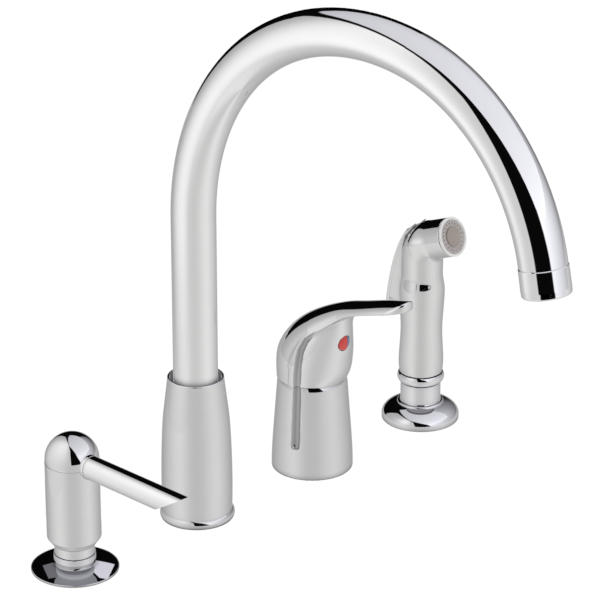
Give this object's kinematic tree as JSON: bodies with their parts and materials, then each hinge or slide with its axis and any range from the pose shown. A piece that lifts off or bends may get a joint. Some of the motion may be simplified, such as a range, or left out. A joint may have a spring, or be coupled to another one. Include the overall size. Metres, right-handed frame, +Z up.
{
  "type": "side spray kitchen faucet",
  "caption": "Widespread kitchen faucet with a swivelling gooseneck spout, single lever mixing valve, lift-out side sprayer and pump soap dispenser.",
  "frame": {"origin": "centre of the spout hole on the top plane of the deck", "axes": "+Z up out of the deck, -Y towards the bowl along the spout, +X along the hole row from the spout to the valve and the sprayer"},
  "size_m": [0.3635, 0.328, 0.5529],
  "materials": {
    "chrome_plate": "polished",
    "plated_plastic": "polished plating over plastic",
    "brass": "machined",
    "copper": "drawn tube",
    "steel": "zinc plated",
    "rubber_black": "matte",
    "plastic_black": "matte",
    "plastic_white": "matte",
    "index_red": "gloss",
    "index_blue": "gloss",
    "rim_white": "gloss",
    "face_grey": "satin",
    "centre_taupe": "satin",
    "bottle_plastic": "satin"
  },
  "bodies": {
    "deck_set": {"spout_base_ring": "chrome_plate", "spout_gasket": "rubber_black", "spout_body": "chrome_plate", "spout_post": "brass", "diverter_body": "plastic_white", "spout_o_rings": "rubber_black", "spout_glide_ring": "plastic_white", "spout_clip": "steel", "recess_ring": "plastic_black", "deck_rubber_washers": "rubber_black", "deck_steel_washers": "steel", "shank_nuts": "brass", "valve_skirt": "chrome_plate", "valve_gasket": "rubber_black", "valve_body": "brass", "inlet_tubes": "copper", "mixed_outlet_tube": "copper", "cartridge_body": "plastic_white", "bonnet_dome": "chrome_plate", "spray_holder": "chrome_plate", "holder_liner": "plastic_black", "holder_gasket": "rubber_black", "holder_nut": "plastic_white", "soap_flange": "chrome_plate", "soap_gasket": "rubber_black", "soap_nut": "plastic_black", "soap_bottle": "bottle_plastic", "pump_cylinder": "plastic_white", "dip_tube": "plastic_white", "pump_spring": "steel", "pump_collar": "chrome_plate", "pump_sleeve": "chrome_plate"},
    "spout": {"spout_hub": "brass", "spout_tube": "chrome_plate", "outlet_adapter": "brass", "aerator_housing": "chrome_plate", "aerator_insert": "plastic_white"},
    "diverter": {"diverter_piston": "plastic_black"},
    "stem_carrier": {"cartridge_rotor": "plastic_black"},
    "handle": {"handle": "chrome_plate", "handle_stem": "steel", "handle_set_screw": "steel", "index_button_red": "index_red", "index_button_blue": "index_blue"},
    "sprayer": {"spray_tail": "plastic_white", "spray_collar": "plated_plastic", "spray_body": "plated_plastic", "trigger_pin": "steel", "nozzle_bezel": "rim_white", "spray_face": "face_grey", "spray_centre": "centre_taupe"},
    "trigger": {"spray_trigger": "plated_plastic"},
    "plunger": {"spray_plunger": "plastic_black"},
    "pump_rod": {"pump_stem": "plastic_white", "pump_piston": "plastic_white"},
    "soap_head": {"soap_head": "chrome_plate", "soap_dome": "chrome_plate", "soap_nozzle": "chrome_plate"},
    "inlet_ball": {"inlet_ball": "steel"}
  },
  "joints": [
    {"name": "spout_swivel", "type": "hinge", "parent": "deck_set", "child": "spout", "pos_m": [0, 0, 0.07], "axis": [0, 0, 1], "continuous": true},
    {"name": "diverter_shift", "type": "slide", "parent": "deck_set", "child": "diverter", "axis": [0, 0, 1], "range_m": [0, 0.004]},
    {"name": "handle_turn", "type": "hinge", "parent": "deck_set", "child": "stem_carrier", "pos_m": [0.1016, 0, 0.046], "axis": [0, 0, 1], "range_deg": [-50, 50]},
    {"name": "handle_lift", "type": "hinge", "parent": "stem_carrier", "child": "handle", "pos_m": [0.1016, 0, 0.046], "axis": [-1, 0, 0], "range_deg": [0, 20]},
    {"name": "sprayer_lift", "type": "slide", "parent": "deck_set", "child": "sprayer", "axis": [0, 0, 1], "range_m": [0, 0.12]},
    {"name": "trigger_press", "type": "hinge", "parent": "sprayer", "child": "trigger", "pos_m": [0.20293, 0.00279, 0.1316], "axis": [-0.9954, -0.0958, 0], "range_deg": [0, 5.5], "stiffness_Nm_per_rad": 1.2, "springref_deg": -5.73},
    {"name": "plunger_slide", "type": "slide", "parent": "sprayer", "child": "plunger", "axis": [0.0958, -0.9954, 0], "range_m": [0, 0.0031]},
    {"name": "pump_press", "type": "slide", "parent": "deck_set", "child": "pump_rod", "axis": [0, 0, -1], "range_m": [0, 0.012], "stiffness_N_per_m": 500, "springref_m": -0.015, "deforming": ["pump_spring"]},
    {"name": "pump_turn", "type": "hinge", "parent": "pump_rod", "child": "soap_head", "pos_m": [-0.1016, 0, 0.05], "axis": [0, 0, 1], "range_deg": [-180, 50]},
    {"name": "inlet_ball_lift", "type": "slide", "parent": "deck_set", "child": "inlet_ball", "axis": [0, 0, 1], "range_m": [0, 0.003]}
  ],
  "couplings": [
    {"joint": "plunger_slide", "follows": "trigger_press", "m_per_rad": 0.0318}
  ]
}
